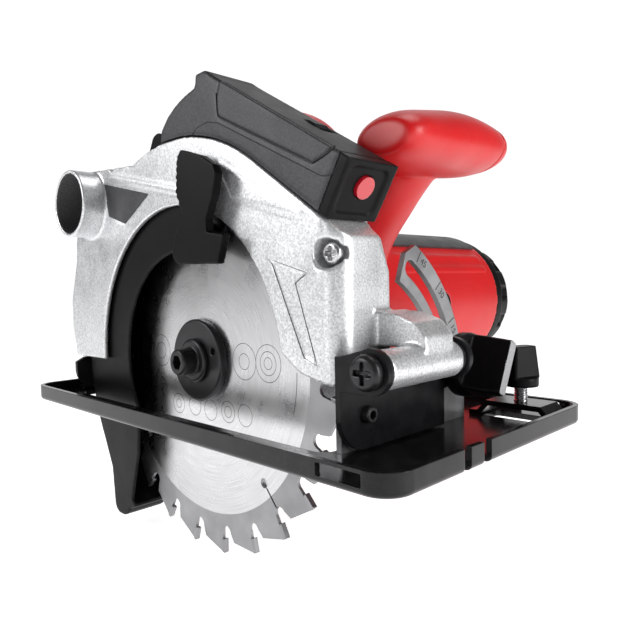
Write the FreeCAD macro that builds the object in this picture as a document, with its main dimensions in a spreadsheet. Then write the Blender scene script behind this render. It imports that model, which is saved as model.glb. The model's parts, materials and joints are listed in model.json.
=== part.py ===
import FreeCAD, Part
import math
import os
from FreeCAD import Placement, Rotation, Vector

# Hand-held circular saw, millimetres.  +X is the cutting direction, +Y points from the blade to the
# motor, +Z is up.  The origin lies on the sole, straight below the arbor, in the plane of the blade.

SIZES = {
    # blade and spindle
    "blade_diameter": 185, "blade_bore": 20, "blade_thick": 1.6, "kerf_thick": 2.4,
    "tooth_count": 24, "tooth_gullet_depth": 13, "cutting_depth": 65,
    "flange_radius": 19.8, "flange_thick": 4, "spindle_radius": 8, "bolt_radius": 4,
    "bolt_collar_radius": 10.5, "bolt_head_radius": 6.2,
    # gears
    "gear_teeth": 36, "pinion_teeth": 9, "gear_width": 10, "gear_start": 18.5,
    # base
    "base_rear": -117, "base_front": 142.3, "base_left": -37, "base_right": 103,
    "base_thick": 2.5, "base_flange": 8.3, "base_wall": 2.2, "base_corner": 11,
    "slot_rear": -102, "slot_front": 97, "slot_left": -17, "slot_right": 38, "slot_corner": 6,
    # bevel hinge
    "bevel_side": -4, "bevel_height": 16, "bevel_pin_radius": 3, "bevel_slot_radius": 62,
    "bevel_bolt_radius": 3, "bevel_bolt_angle": 10.8, "quadrant_radius": 72, "sheet_thick": 2.5,
    # depth hinge
    "pivot_front": 119, "pivot_height": 33.8, "pivot_radius": 3, "barrel_radius": 7,
    "depth_arc_radius": 215, "depth_bolt_radius": 3,
    # upper and lower guard
    "guard_radius": 103, "guard_cavity_radius": 100, "arch_radius": 73, "guard_face": -15,
    "guard_back": 15.5, "guard_wall": 2.6, "hub_radius": 21, "port_radius": 16, "port_wall": 2,
    "port_length": 13, "shell_radius": 97.5, "shell_inner_radius": 52, "shell_wall": 1.6,
    # motor and handles
    "motor_forward": 12.2, "motor_height": 50.3, "motor_radius": 41, "motor_wall": 3,
    "motor_end": 190, "stator_start": 62, "stator_length": 50, "stator_radius": 36,
    "core_radius": 20, "handle_centre": 52, "handle_half": 17, "handle_wall": 2.6,
    # laser unit
    "laser_face": -15, "laser_back": 12.5, "laser_slope": 31, "laser_lens_radius": 4.3,
    "running_gap": 0.05,
}

doc = FreeCAD.newDocument("circular_saw")
sheet = doc.addObject("Spreadsheet::Sheet", "Sizes")
for row, (alias, value) in enumerate(SIZES.items(), start=1):
    sheet.set(f"A{row}", alias)
    sheet.set(f"B{row}", str(value))
    sheet.setAlias(f"B{row}", alias)
doc.recompute()


def size(alias):
    return float(getattr(sheet, alias))


NODES = {}
X, Y, Z = Vector(1, 0, 0), Vector(0, 1, 0), Vector(0, 0, 1)
ARBOR = Vector(0, 0, size("blade_diameter") / 2 - size("cutting_depth"))
MOTOR = Vector(size("motor_forward"), 0, size("motor_height"))
PIVOT = Vector(size("pivot_front"), 0, size("pivot_height"))
BEVEL = Vector(0, size("bevel_side"), size("bevel_height"))
PORT = Vector(-82, 0, 109)


def keep(name, item):
    """Give a finished sub-part its label and put it on the list of nodes."""
    for other in doc.getObjectsByLabel(name):
        other.Label = name + "_blank"
    item.Label = name
    NODES[name] = item
    return item


# ---------------------------------------------------------------- sketched bodies
PLANES = {"XY": "XY_Plane", "XZ": "XZ_Plane", "YZ": "YZ_Plane"}


def edges_of(loop):
    """A loop is ("circle", x, y, r) or points, where ("arc", mid, end) bends to its end."""
    if loop[0] == "circle":
        _, cx, cy, radius = loop
        return [Part.Circle(Vector(cx, cy, 0), Z, radius)]
    found = []
    here = Vector(*loop[0], 0)
    for step in list(loop[1:]) + [loop[0]]:
        if step[0] == "arc":
            mid, end = Vector(*step[1], 0), Vector(*step[2], 0)
            found.append(Part.Arc(here, mid, end))
        else:
            end = Vector(*step, 0)
            if (end - here).Length < 1e-6:
                continue
            found.append(Part.LineSegment(here, end))
        here = end
    return found


def sketch_in(body, plane, loops, offset=0):
    """Draw closed loops on one of the body's origin planes, moved along its normal."""
    sketch = body.newObject("Sketcher::SketchObject", body.Name + "_sketch")
    role = PLANES[plane]
    support = next(o for o in body.Origin.OriginFeatures if o.Role == role)
    sketch.AttachmentSupport = [(support, "")]
    sketch.MapMode = "FlatFace"
    sketch.AttachmentOffset = Placement(Vector(0, 0, offset), Rotation())
    for loop in loops:
        sketch.addGeometry(edges_of(loop), False)
    return sketch


def pad(body, plane, loops, length, offset=0, backwards=False):
    feature = body.newObject("PartDesign::Pad", body.Name + "_pad")
    feature.Profile = sketch_in(body, plane, loops, offset)
    feature.setExpression("Length", length)
    feature.Reversed = backwards
    return feature


def pocket(body, plane, loops, length, offset=0, backwards=False):
    doc.recompute()
    before = body.Shape.Volume
    feature = body.newObject("PartDesign::Pocket", body.Name + "_pocket")
    feature.Profile = sketch_in(body, plane, loops, offset)
    feature.setExpression("Length", length)
    feature.Reversed = backwards
    doc.recompute()
    assert body.Shape.Volume < before - 1e-3, body.Name + " pocket cuts nothing"
    return feature


def plate(name, plane, loops, thickness, base=(0, 0, 0)):
    """A flat piece: one sketch padded by a sheet expression."""
    body = doc.addObject("PartDesign::Body", name)
    pad(body, plane, loops, thickness)
    body.Placement = Placement(Vector(*base), Rotation())
    return body


def turned(name, axis, profile, base=(0, 0, 0)):
    """A turned piece from (along, radius) points, revolved about X, Y or Z."""
    body = doc.addObject("PartDesign::Body", name)
    plane = "XZ" if axis == "Z" else "XY"
    points = [(a, r) if axis == "X" else (r, a) for a, r in profile]
    sketch = sketch_in(body, plane, [points])
    feature = body.newObject("PartDesign::Revolution", name + "_turn")
    feature.Profile = sketch
    feature.ReferenceAxis = (sketch, ["H_Axis" if axis == "X" else "V_Axis"])
    feature.Angle = 360
    body.Placement = Placement(Vector(*base), Rotation())
    return body


def ring(name, axis, start, stop, outer, inner, base):
    """A plain ring, such as a bearing or a washer."""
    return turned(name, axis, [(start, inner), (stop, inner), (stop, outer), (start, outer)], base)


# ---------------------------------------------------------------- solids from Part
TURN = {"X": Rotation(Y, 90), "Y": Rotation(X, -90), "Z": Rotation()}


def rod(name, axis, radius, length, base):
    """A cylinder whose radius and length are sheet expressions."""
    item = doc.addObject("Part::Cylinder", name)
    item.setExpression("Radius", radius)
    item.setExpression("Height", length)
    item.Placement = Placement(Vector(*base), TURN[axis])
    return item


def cut(name, base, tool):
    item = doc.addObject("Part::Cut", name)
    item.Base, item.Tool = base, tool
    return item


def fuse(name, pieces):
    item = doc.addObject("Part::MultiFuse", name)
    item.Shapes = pieces
    return item


def group(name, pieces):
    item = doc.addObject("Part::Compound", name)
    item.Links = pieces
    return item


def made(name, shape):
    """A shape worked out with Part's own functions, for forms that no feature covers."""
    item = doc.addObject("Part::Feature", name)
    item.Shape = shape
    item.Placement = shape.Placement
    return item


def cyl(axis, radius, start, stop, centre):
    """A bare cylinder along X, Y or Z through centre, between two places on that axis."""
    along = {"X": X, "Y": Y, "Z": Z}[axis]
    foot = Vector(centre) - along * centre.dot(along) + along * start
    return Part.makeCylinder(radius, stop - start, foot, along)


def box(low, high):
    return Part.makeBox(*[b - a for a, b in zip(low, high)], Vector(*low))


def prism(plane, loop, start, stop):
    """A bare prism over a loop drawn in XZ, YZ or XY."""
    place = {"XZ": lambda p: Vector(p.x, start, p.y),
             "YZ": lambda p: Vector(start, p.x, p.y),
             "XY": lambda p: Vector(p.x, p.y, start)}[plane]
    along = {"XZ": Y, "YZ": X, "XY": Z}[plane] * (stop - start)
    edges = []
    for curve in edges_of(loop):
        first, last = curve.FirstParameter, curve.LastParameter
        if isinstance(curve, Part.LineSegment):
            edges.append(Part.LineSegment(place(curve.StartPoint), place(curve.EndPoint)).toShape())
        elif isinstance(curve, Part.Circle):
            normal = {"XZ": Y, "YZ": X, "XY": Z}[plane]
            edges.append(Part.Circle(place(curve.Center), normal, curve.Radius).toShape())
        else:
            three = [place(curve.value(t)) for t in (first, (first + last) / 2, last)]
            edges.append(Part.Arc(*three).toShape())
    return Part.Face(Part.Wire(Part.__sortEdges__(edges))).extrude(along)


def polar(centre, radius, degrees):
    """A point in a plane, from an angle measured anticlockwise from its first axis."""
    angle = math.radians(degrees)
    return (centre[0] + radius * math.cos(angle), centre[1] + radius * math.sin(angle))


def rounded(left, low, right, top, corner):
    """A rectangle with round corners, as a loop."""
    k = corner * (1 - math.sqrt(0.5))
    return [(left + corner, low), (right - corner, low),
            ("arc", (right - k, low + k), (right, low + corner)), (right, top - corner),
            ("arc", (right - k, top - k), (right - corner, top)), (left + corner, top),
            ("arc", (left + k, top - k), (left, top - corner)), (left, low + corner),
            ("arc", (left + k, low + k), (left + corner, low))]


def arc_slot(centre, radius, half, first, last):
    """A curved slot of half width half, between two angles."""
    middle = (first + last) / 2
    cap_in = polar(polar(centre, radius, first), half, first - 90)
    cap_out = polar(polar(centre, radius, last), half, last + 90)
    return [polar(centre, radius + half, first),
            ("arc", polar(centre, radius + half, middle), polar(centre, radius + half, last)),
            ("arc", cap_out, polar(centre, radius - half, last)),
            ("arc", polar(centre, radius - half, middle), polar(centre, radius - half, first)),
            ("arc", cap_in, polar(centre, radius + half, first))]


# ================================================================= base (the fixed shoe)
FENCE_AT = (122, 82)
THICK = size("base_thick")


def base_plate():
    body = doc.addObject("PartDesign::Body", "base_plate")
    rear, front = size("base_rear"), size("base_front")
    left, right = size("base_left"), size("base_right")
    wall, corner = size("base_wall"), size("base_corner")
    slab = pad(body, "XY", [rounded(rear, left, front, right, corner)], "Sizes.base_flange")
    doc.recompute()
    outer = [f"Edge{i + 1}" for i, e in enumerate(body.Shape.Edges) if e.BoundBox.ZMax < 0.01]
    bend = body.newObject("PartDesign::Fillet", "base_bend")
    bend.Base = (slab, outer)
    bend.Radius = 2.4
    inside = rounded(rear + wall, left + wall, front - wall, right - wall, corner - wall)
    top = size("base_flange")
    pocket(body, "XY", [inside], "Sizes.base_flange - Sizes.base_thick", top)
    slot = rounded(size("slot_rear"), size("slot_left"), size("slot_front"), size("slot_right"),
                   size("slot_corner"))
    fence_hole = rounded(107, 75.5, 137, 88.5, 2)
    pocket(body, "XY", [slot, fence_hole], "Sizes.base_thick + 2", THICK + 1)
    notches = [rounded(front - 3.2, low, front + 2, low + wide, 0.4)
               for low, wide in ((2.0, 4.3), (14.5, 5.0))]
    pocket(body, "XY", notches, "Sizes.base_flange + 2", top + 1)
    window = rounded(112, 2.7, 131, 7.1, 0.6)
    pocket(body, "XZ", [window], "Sizes.base_right - Sizes.base_left + 10", -size("base_left") + 5,
           False)
    strap = [(101, THICK), (106, THICK), (110.5, 7.4), (133.5, 7.4), (138, THICK), (141, THICK),
             (140.1, 4.2), (139, 4.8), (134.6, 9.7), (109.4, 9.7), (105, 4.8), (101, 4.8)]
    strap_low, strap_high = 74, 90
    pad(body, "XZ", [strap], f"{strap_high - strap_low}", -strap_low, True)
    pocket(body, "XY", [("circle", *FENCE_AT, 3.05)], "6", 12)
    return body


QUADRANT_LEFT = size("guard_back") + 0.9    # keeps the arc beside the guard


def quadrant_outline():
    centre = (size("bevel_side"), size("bevel_height"))
    reach = size("quadrant_radius")
    edge = centre[0] + reach
    eye, inner = 9.5, size("bevel_slot_radius") - 8
    tip = size("bevel_bolt_angle") + 50.5
    return [(centre[0] - eye, THICK), (edge, THICK), (edge, centre[1]),
            ("arc", polar(centre, reach, 30), polar(centre, reach, tip - 2)),
            polar(centre, reach - 6, tip + 1.5), polar(centre, inner, tip),
            ("arc", polar(centre, inner, tip - 12), polar(centre, inner, tip - 25)),
            (QUADRANT_LEFT + 8, 38), (QUADRANT_LEFT, centre[1] + eye), (centre[0], centre[1] + eye),
            ("arc", polar(centre, eye, 135), (centre[0] - eye, centre[1]))]


def bevel_quadrant():
    centre = (size("bevel_side"), size("bevel_height"))
    turn = size("bevel_bolt_angle")
    slot = arc_slot(centre, size("bevel_slot_radius"), size("bevel_bolt_radius") + 0.4,
                    turn - 2, turn + 47)
    pin = ("circle", *centre, size("bevel_pin_radius"))
    body = plate("bevel_quadrant", "YZ", [quadrant_outline(), slot, pin], "Sizes.sheet_thick",
                 (99.5, 0, 0))
    pad(body, "XY", [rounded(-14, 41, 0.5, 58, 0.4)], "Sizes.sheet_thick", THICK)
    return body


def rear_hinge_bracket():
    centre = (size("bevel_side"), size("bevel_height"))
    reach = 7.2
    outline = [(centre[0] - reach, THICK), (centre[0] + reach, THICK), (centre[0] + reach, centre[1]),
               ("arc", (centre[0], centre[1] + reach), (centre[0] - reach, centre[1]))]
    body = plate("rear_hinge_bracket", "YZ",
                 [outline, ("circle", *centre, size("bevel_pin_radius"))], "Sizes.sheet_thick",
                 (-110, 0, 0))
    pad(body, "XY", [rounded(-4.6, centre[0] - reach, 0.5, centre[0] + reach, 0.4)],
        "Sizes.sheet_thick", THICK)
    return body


PIN_R = size("bevel_pin_radius")
keep("base_plate", base_plate())
keep("bevel_quadrant", bevel_quadrant())
keep("rear_hinge_bracket", rear_hinge_bracket())
keep("front_bevel_pin", turned("front_bevel_pin", "X",
     [(97.6, 1.6), (109, 1.6), (109, PIN_R - 0.5), (108.5, PIN_R), (97.6, PIN_R)], BEVEL))
keep("rear_bevel_pin", turned("rear_bevel_pin", "X",
     [(-113, 0), (-101.6, 0), (-101.6, PIN_R), (-110, PIN_R), (-110, 5.2), (-113, 5.2)], BEVEL))


# ================================================================= fence clamp
def fence_knob():
    """A round foot under a wing that tapers towards its top."""
    foot = cyl("Z", 7.6, 16.5, 20.5, Vector(*FENCE_AT, 0))
    wing = Part.makeLoft([Part.makePolygon([Vector(x, y, z) for x, y in
                          ((-a, -b), (a, -b), (a, b), (-a, b), (-a, -b))])
                          for z, a, b in ((20, 7.6, 4.6), (34, 6.2, 3.6))], True, True)
    wing = wing.makeFillet(1.6, [e for e in wing.Edges if e.BoundBox.ZLength > 10])
    wing.rotate(Vector(0, 0, 0), Z, 70)
    wing.translate(Vector(*FENCE_AT, 0))
    return made("fence_knob_blank", foot.fuse(wing).removeSplitter())


keep("fence_clamp_knob", cut("fence_knob_cut", fence_knob(),
     rod("fence_screw_seat", "Z", "3", "10", (*FENCE_AT, 16))))
keep("fence_clamp_screw", turned("fence_clamp_screw", "Z",
     [(7.3, 0), (26, 0), (26, 3), (8.1, 3), (7.3, 2.2)], (*FENCE_AT, 0)))

# ================================================================= tilting frame
CORNER_REACH = 13.2
EAR_NEAR, EAR_FAR, EAR_THICK = -17.8, 31.3, 2.4
BOLT_AT = polar((size("bevel_side"), size("bevel_height")), size("bevel_slot_radius"),
                size("bevel_bolt_angle"))
BRACKET_BACK = 103.5
BRACKET_FRONT = BRACKET_BACK + size("sheet_thick")


def front_tilt_bracket():
    centre = (size("bevel_side"), size("bevel_height"))
    bolt_y, bolt_z = BOLT_AT
    tab = 8.0
    outline = [(centre[0], centre[1] - 12.6), (46, centre[1] - 12.6), (46, 18.5),
               (bolt_y, bolt_z - tab), ("arc", (bolt_y + tab, bolt_z), (bolt_y, bolt_z + tab)),
               (46, 38), (EAR_NEAR, 38), (EAR_NEAR, centre[1] - 1),
               ("arc", polar(centre, CORNER_REACH, 225), (centre[0], centre[1] - 12.6))]
    holes = [("circle", *centre, PIN_R + size("running_gap")),
             ("circle", bolt_y, bolt_z, size("bevel_bolt_radius"))]
    body = plate("front_tilt_bracket", "YZ", [outline] + holes, "Sizes.sheet_thick",
                 (BRACKET_BACK, 0, 0))
    reach = 8.0
    px, pz = PIVOT.x - BRACKET_BACK, PIVOT.z
    ear = [(0, 26), (px, pz - reach), ("arc", (px + reach, pz), (px, pz + reach)), (2.5, 38), (0, 38)]
    hole = ("circle", px, pz, size("pivot_radius"))
    for near in (EAR_NEAR, EAR_FAR):
        pad(body, "XZ", [ear, hole], f"{EAR_THICK}", -near, True)
    return body


def depth_bracket():
    """Rear tilt plate and, square to it, the slotted arc that the depth bolt slides along."""
    centre = (size("bevel_side"), size("bevel_height"))
    low = centre[1] - 12.6
    outline = [(centre[0], low), (21.5, low), (21.5, 22.6), (-12, 22.6), (centre[0] - CORNER_REACH, 20),
               (centre[0] - CORNER_REACH, centre[1]),
               ("arc", polar(centre, CORNER_REACH, 225), (centre[0], low))]
    tilt = prism("YZ", outline, -106, -103.5)
    tilt = tilt.cut(cyl("X", PIN_R + size("running_gap"), -107, -103, BEVEL))
    about = (PIVOT.x, PIVOT.z)
    reach = size("depth_arc_radius")
    arc = [polar(about, reach + 8, 180), ("arc", polar(about, reach + 8, 166), polar(about, reach + 8, 149)),
           ("arc", polar(about, reach, 147.4), polar(about, reach - 8, 149)),
           ("arc", polar(about, reach - 8, 166), polar(about, reach - 8, 180)),
           (about[0] - reach + 8, low), (-106, low), (-106, 26)]
    sheet_arc = prism("XZ", arc, 19, 21.5)
    slot = prism("XZ", arc_slot(about, reach, size("depth_bolt_radius") + 0.4, 150, 181.5), 18, 23)
    return made("depth_bracket", tilt.fuse(sheet_arc).cut(slot).removeSplitter())


keep("front_tilt_bracket", front_tilt_bracket())
keep("depth_bracket", depth_bracket())


def phillips(head_radius, depth=2.2, arm=0.9):
    """A cross recess that opens towards -Y at y = 0."""
    long = head_radius * 0.62
    cross = box((-long, -0.5, -arm), (long, depth, arm)).fuse(box((-arm, -0.5, -long), (arm, depth, long)))
    return cross


def pan_screw(head_radius, head_height, radius, length):
    """A pan-head screw along +Y, its head's underside at y = 0."""
    crown = Part.makeCylinder(head_radius, head_height, Vector(0, -head_height, 0), Y)
    crown = crown.makeFillet(head_height * 0.55, [e for e in crown.Edges
                             if e.BoundBox.YMax < -head_height + 0.01])
    recess = phillips(head_radius)
    recess.translate(Vector(0, -head_height, 0))
    shank = Part.makeCylinder(radius, length, Vector(0, 0, 0), Y)
    return crown.fuse(shank).cut(recess).removeSplitter()


def placed(shape, x, y, z):
    copy = shape.copy()
    copy.translate(Vector(x, y, z))
    return copy


PIVOT_R = size("pivot_radius")
keep("depth_pivot_screw", made("depth_pivot_screw", placed(
     pan_screw(6.2, 4.2, PIVOT_R, 53.4), PIVOT.x, EAR_NEAR, PIVOT.z)))
keep("pivot_nut", made("pivot_nut", prism("XZ", [polar((PIVOT.x, PIVOT.z), 5.3, 60 * i + 30)
     for i in range(6)], EAR_FAR + EAR_THICK, EAR_FAR + EAR_THICK + 2.2)
     .cut(cyl("Y", PIVOT_R, 20, 50, PIVOT))))
keep("pivot_washers", group("pivot_washers", [
     ring("near_washer", "Y", EAR_NEAR + EAR_THICK, -14.1, 7.6, PIVOT_R, (PIVOT.x, 0, PIVOT.z)),
     ring("far_washer", "Y", 30.1, EAR_FAR, 6.6, PIVOT_R, (PIVOT.x, 0, PIVOT.z))]))

# ================================================================= bevel clamp knob
BOLT_Y, BOLT_Z = BOLT_AT
KNOB_BACK = BRACKET_FRONT + 0.8


def bevel_knob():
    disc = turned("knob_disc", "X", [(KNOB_BACK, 0), (KNOB_BACK, 13), (KNOB_BACK + 1, 13.6),
                  (KNOB_BACK + 5, 13.6), (KNOB_BACK + 7, 12.5), (KNOB_BACK + 7, 0)], (0, BOLT_Y, BOLT_Z))
    outlines = []
    for along, half_wide, half_long in ((5, 6.5, 12), (11, 4.6, 12.2), (17, 3.2, 12), (22.5, 2.5, 11.6)):
        corners = ((-1, -1), (1, -1), (1, 1), (-1, 1), (-1, -1))
        outlines.append(Part.makePolygon([Vector(along, a * half_wide, b * half_long) for a, b in corners]))
    wing = Part.makeLoft(outlines, True, True)
    wing = wing.makeFillet(1.4, [e for e in wing.Edges if e.BoundBox.XLength > 3])
    wing.rotate(Vector(0, 0, 0), X, -27)
    wing.translate(Vector(KNOB_BACK, BOLT_Y, BOLT_Z))
    whole = fuse("knob_whole", [disc, made("knob_wing", wing)])
    return cut("knob_cut", whole, rod("knob_bore", "X", "Sizes.bevel_bolt_radius", "16",
               (KNOB_BACK - 1, BOLT_Y, BOLT_Z)))


keep("bevel_knob", bevel_knob())
keep("bevel_bolt", turned("bevel_bolt", "X", [(95.5, 0), (KNOB_BACK + 14.5, 0), (KNOB_BACK + 14.5, 3),
     (99, 3), (99, 6.5), (95.5, 6.5)], (0, BOLT_Y, BOLT_Z)))


# ================================================================= upper guard casting
AX = (ARBOR.x, ARBOR.z)
FACE, BACK, WALL = size("guard_face"), size("guard_back"), size("guard_wall")
FRONT_EDGE = 102.4
DEPTH_BOLT = polar((PIVOT.x, PIVOT.z), size("depth_arc_radius"), 181)
LASER_TANGENT = 55.2
LASER_TOE = (97.6, 85.5)


def guard_outline():
    radius = size("guard_radius")
    port = (PORT.x, PORT.z)
    return [(-73, 23.5), (-108, 23.5), (-112, 40), (-112, 56), (-104, 78), (-102, 96),
            polar(port, 18.4, 200), ("arc", polar(port, 18.4, 140), polar(port, 18.4, 85)),
            polar(AX, radius, 110), ("arc", polar(AX, radius, 82), polar(AX, radius, LASER_TANGENT)),
            LASER_TOE, (FRONT_EDGE, 80), (FRONT_EDGE, 27.5), (98, 26), (82, 30)]


def upper_guard():
    solid = prism("XZ", guard_outline(), FACE, BACK)
    corner = [e for e in solid.Edges if abs(e.BoundBox.XMin - FRONT_EDGE) < 0.01
              and abs(e.BoundBox.YMax - FACE) < 0.01 and e.BoundBox.ZLength > 20]
    solid = solid.makeFillet(9.5, corner)
    inner = size("guard_cavity_radius")
    room = cyl("Y", inner, FACE + WALL, BACK - 3, ARBOR)
    room = room.fuse(box((-97, FACE + WALL, -10), (97, BACK - 3, AX[1])))
    arch = cyl("Y", size("arch_radius"), FACE - 1, FACE + WALL + 1, ARBOR)
    arch = arch.fuse(box((-size("arch_radius"), FACE - 1, -10), (72.9, FACE + WALL + 1, AX[1])))
    arch = arch.fuse(prism("XZ", [(70, 20), (84, 29), (72.4, 37)], FACE - 1, FACE + WALL + 1))
    skirt = prism("XZ", [(-90, 30), (-84, 12), (-60, 5), (72, 5), ("arc", (82, 8.5), (86, 18)),
                         (86, 40)], BACK - 3, BACK)
    boss = cyl("Y", size("hub_radius"), 5.4, BACK - 3, ARBOR)
    bolt_boss = cyl("Y", 6.5, BACK, 18.6, Vector(DEPTH_BOLT[0], 0, DEPTH_BOLT[1]))
    port_out = size("port_radius") + size("port_wall")
    port = cyl("Y", port_out, FACE - size("port_length"), 2, PORT)
    barrel = cyl("Y", size("barrel_radius"), -13.9, 29.9, PIVOT)
    lug = prism("XZ", [(98, 39.6), (98, 53), (112, 51.8), (120, 49), (124.5, 44), (125, 38),
                       (119, 36), (112, 39.6)], 6, 24)
    lug = lug.cut(box((90, BACK, 30), (FRONT_EDGE + 0.2, 25, 70)))
    taper = prism("YZ", [(9, 90), (9, 84), (BACK + 0.4, 66), (BACK + 4, 66), (BACK + 4, 90)], 92, 110)
    arrow = prism("XZ", ARROW, FACE - 1, FACE + 0.8)
    solid = solid.cut(room).cut(arch).fuse([skirt, boss, bolt_boss, port, barrel, lug])
    bore = cyl("Y", size("port_radius"), FACE - 20, 8, PORT)
    throat = Part.makeCylinder(11, 40, Vector(PORT.x, 1, PORT.z), Vector(0.7, 0, -0.7))
    drive = cyl("Y", 14, 5, BACK + 1, ARBOR)
    pivot = cyl("Y", PIVOT_R + size("running_gap"), -20, 40, PIVOT)
    bolt_line = Vector(DEPTH_BOLT[0], 0, DEPTH_BOLT[1])
    clamp = cyl("Y", size("depth_bolt_radius"), BACK - 4, 20, bolt_line)
    clamp = clamp.fuse(cyl("Y", 5.6, BACK - 5, BACK - 3, bolt_line))
    counterbore = cyl("Y", 5.4, FACE - 1, -5.6, SCREW_FRONT)
    rear_hole = cyl("Y", 2.6, FACE - 1, FACE + 2, SCREW_REAR)
    badge = prism("XZ", [(-67, 119), (-20, 108.3), (-45, 95.3), (-62, 100.6)], FACE - 1, FACE + 0.5)
    for tool in (bore, throat, drive, pivot, clamp, counterbore, rear_hole, badge, taper, arrow):
        solid = solid.cut(tool)
    return made("upper_guard", solid.removeSplitter())


ARROW = [(66.5, 73.2), (88, 67.2), (81.5, 63.6), (92.1, 33.5), (85.4, 35.9), (68.8, 71.1)]
SCREW_FRONT = Vector(96.2, 0, 74)
SCREW_REAR = Vector(-57, 0, 127)
keep("upper_guard", upper_guard())
keep("guard_badge", made("guard_badge", prism("XZ", [(-66.5, 118.6), (-20.9, 108.3), (-45.1, 95.9),
     (-61.7, 101)], FACE - 0.1, FACE + 0.5)))
keep("guard_screws", made("guard_screws", Part.makeCompound([
     placed(pan_screw(4.2, 2.8, 2.2, 3), SCREW_FRONT.x, -8.8, SCREW_FRONT.z)
     .common(box((80, -12, 60), (110, -5.65, 90)))])))

# ================================================================= gearbox and motor
GEAR_FROM = size("gear_start")
GEAR_TO = GEAR_FROM + size("gear_width")
MOTOR_R = size("motor_radius")
LOCK_PIN = Vector(0, 25, ARBOR.z - 5)
LOCK_PIN_R = 2.5


def gearbox_housing():
    flange = cyl("Y", MOTOR_R, BACK, 22, MOTOR)
    sleeve = cyl("Y", MOTOR_R - 3.1, 22, 38, MOTOR)
    low = cyl("Y", 25.5, BACK, 38, ARBOR)
    low = low.common(box((-30, BACK, 2), (40, 30, 60)))
    solid = flange.fuse([sleeve, low])
    room = cyl("Y", 22.6, BACK - 1, 30, ARBOR).fuse(cyl("Y", 9, BACK - 1, 30, MOTOR))
    seats = cyl("Y", 11, 31, 39, ARBOR).fuse(cyl("Y", 11, 31, 39, MOTOR))
    shafts = cyl("Y", 6.6, 29, 32, ARBOR).fuse(cyl("Y", 4.6, 29, 32, MOTOR))
    lock = cyl("X", LOCK_PIN_R + size("running_gap"), -60, -10, LOCK_PIN)
    outside = cyl("Y", MOTOR_R - 3.1, 22, 38, MOTOR).fuse(solid)
    return made("gearbox_housing", outside.cut(room).cut(seats).cut(shafts).cut(lock).removeSplitter())


keep("gearbox_housing", gearbox_housing())
MOTOR_AT = (MOTOR.x, 0, MOTOR.z)
ARBOR_AT = (ARBOR.x, 0, ARBOR.z)
END = size("motor_end")
INNER_R = MOTOR_R - size("motor_wall")
motor_tube = turned("motor_tube", "Y", [
    (22.2, INNER_R), (148, INNER_R), (148, 9.5), (156, 9.5), (156, 4.6), (159, 4.6), (159, 30),
    (184, 30), (184, INNER_R), (END, INNER_R), (END, MOTOR_R), (24, MOTOR_R), (22.2, MOTOR_R - 1.5)],
    MOTOR_AT)
low_notch = rod("gearbox_room", "Y", "25.8", "10", (ARBOR.x, 21, ARBOR.z))
brush_holes = rod("brush_holes", "X", "6.2", "90", (MOTOR.x - 45, 129, MOTOR.z))
keep("motor_housing", cut("motor_housing", motor_tube, fuse("motor_openings",
     [low_notch, brush_holes])))
keep("motor_end_cap", turned("motor_end_cap", "Y", [
     (END, 36), (END, MOTOR_R - 0.4), (END + 7, MOTOR_R - 0.4), (END + 9, 37.5), (END + 22, 36.5),
     (END + 31, 31), (END + 34, 22), (END + 34, 0), (END + 31, 0), (END + 31, 20), (END + 28, 28),
     (END + 20, 33), (END + 8, 34)],
     MOTOR_AT))


def vent_grille():
    tube = cyl("Y", MOTOR_R + 1.4, 100, 186, MOTOR).cut(cyl("Y", MOTOR_R, 99, 187, MOTOR))
    reach = MOTOR_R + 10
    wedge = prism("XZ", [(MOTOR.x, MOTOR.z), polar((MOTOR.x, MOTOR.z), reach, 52),
                         polar((MOTOR.x, MOTOR.z), reach, 116)], 99, 187)
    strip = tube.common(wedge)
    for step in range(9):
        strip = strip.cut(box((-10, 150 + step * 4, 60), (24, 151.8 + step * 4, 100)))
    return made("vent_grille", strip)


keep("vent_grille", vent_grille())
STATOR = size("stator_start"), size("stator_start") + size("stator_length")
keep("field_stator", ring("field_stator", "Y", *STATOR, size("stator_radius"),
     size("core_radius") + 0.7, MOTOR_AT))
GAP = size("running_gap")
keep("ball_bearings", group("ball_bearings", [
     ring("bearing_blade", "Y", 6, 14.5, 14, size("spindle_radius") + GAP, ARBOR_AT),
     ring("bearing_gear", "Y", 31.2, 38, 11, 6 + GAP, ARBOR_AT),
     ring("bearing_pinion", "Y", 31.2, 38, 11, 4 + GAP, MOTOR_AT),
     ring("bearing_rear", "Y", 148.5, 156, 9.5, 4 + GAP, MOTOR_AT)]))


def across(name, profile):
    """Two equal turned pieces that face each other across the commutator."""
    place = Vector(MOTOR.x, 129, MOTOR.z)
    plus = turned(name + "_plus", "X", profile, place)
    minus = turned(name + "_minus", "X", profile, place)
    minus.Placement = Placement(place, Rotation(Z, 180))
    return group(name, [plus, minus])


keep("carbon_brushes", across("carbon_brushes", [(11.3, 0), (26, 0), (26, 2.6), (11.3, 2.6)]))
keep("brush_holders", across("brush_holders", [(13, 2.7), (36, 2.7), (36, 6.2), (13, 4)]))
keep("brush_caps", across("brush_caps", [(36.2, 0), (41.6, 0), (41.6, 5), (40.8, 6.1), (36.2, 6.1)]))


# ================================================================= spindle and blade
def blade_outline():
    teeth = int(size("tooth_count"))
    tip = size("blade_diameter") / 2
    root = tip - size("tooth_gullet_depth")
    pitch = 360 / teeth
    loop = []
    for k in range(teeth):
        a = FIRST_TIP + k * pitch
        loop.append(polar(AX, tip - 0.3, a - 1.15))
        loop.append(polar(AX, root + 3.4, a - 0.1))
        loop.append(("arc", polar(AX, root, a + 1.9), polar(AX, root + 3.4, a + 4.2)))
        loop.append(polar(AX, tip - 5.2, a + 5.2))
    return loop


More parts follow.
